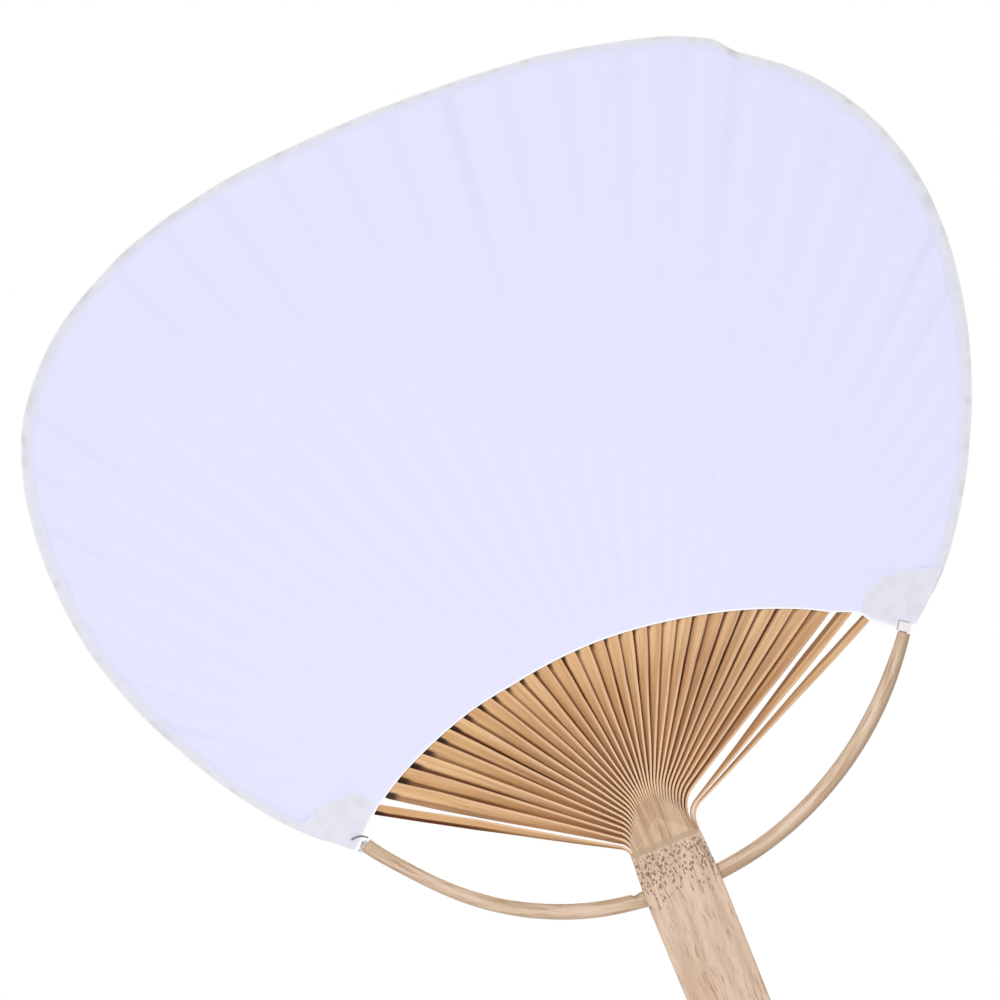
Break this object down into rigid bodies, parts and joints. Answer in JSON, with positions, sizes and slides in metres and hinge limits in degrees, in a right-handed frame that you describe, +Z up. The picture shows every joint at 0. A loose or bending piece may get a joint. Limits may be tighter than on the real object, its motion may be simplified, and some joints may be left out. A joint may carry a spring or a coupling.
{
  "type": "uchiwa hand fan",
  "caption": "Paddle hand fan: flat bamboo handle whose split ribs spread into a wide white paper leaf, braced by a thin bent bow through the handle.",
  "frame": {"origin": "middle of the handle's butt end, in the plane of the ribs", "axes": "+Z up the handle towards the leaf, -Y the front face, +X to the right seen from the front"},
  "size_m": [0.2404, 0.0078, 0.3467],
  "materials": {
    "bamboo_handle": "smooth unvarnished bamboo",
    "bamboo_bow": "scraped bamboo rod",
    "bamboo_ribs": "split bamboo",
    "leaf_paper": "matt white paper",
    "edging_paper": "matt white paper",
    "thread": "twisted cotton thread"
  },
  "bodies": {
    "root": {"handle": "bamboo_handle", "bow": "bamboo_bow", "rib_01": "bamboo_ribs", "rib_02": "bamboo_ribs", "rib_03": "bamboo_ribs", "rib_04": "bamboo_ribs", "rib_05": "bamboo_ribs", "rib_06": "bamboo_ribs", "rib_07": "bamboo_ribs", "rib_08": "bamboo_ribs", "rib_09": "bamboo_ribs", "rib_10": "bamboo_ribs", "rib_11": "bamboo_ribs", "rib_12": "bamboo_ribs", "rib_13": "bamboo_ribs", "rib_14": "bamboo_ribs", "rib_15": "bamboo_ribs", "rib_16": "bamboo_ribs", "rib_17": "bamboo_ribs", "rib_18": "bamboo_ribs", "rib_19": "bamboo_ribs", "rib_20": "bamboo_ribs", "rib_21": "bamboo_ribs", "rib_22": "bamboo_ribs", "rib_23": "bamboo_ribs", "rib_24": "bamboo_ribs", "rib_25": "bamboo_ribs", "rib_26": "bamboo_ribs", "rib_27": "bamboo_ribs", "rib_28": "bamboo_ribs", "rib_29": "bamboo_ribs", "rib_30": "bamboo_ribs", "rib_31": "bamboo_ribs", "rib_32": "bamboo_ribs", "rib_33": "bamboo_ribs", "front_paper": "leaf_paper", "back_paper": "leaf_paper", "rim_strip": "edging_paper", "ear_patch_right_front": "edging_paper", "ear_patch_right_back": "edging_paper", "ear_tie_right": "thread", "ear_patch_left_front": "edging_paper", "ear_patch_left_back": "edging_paper", "ear_tie_left": "thread", "ear_tab_right": "edging_paper", "binding_thread": "thread"}
  },
  "joints": []
}
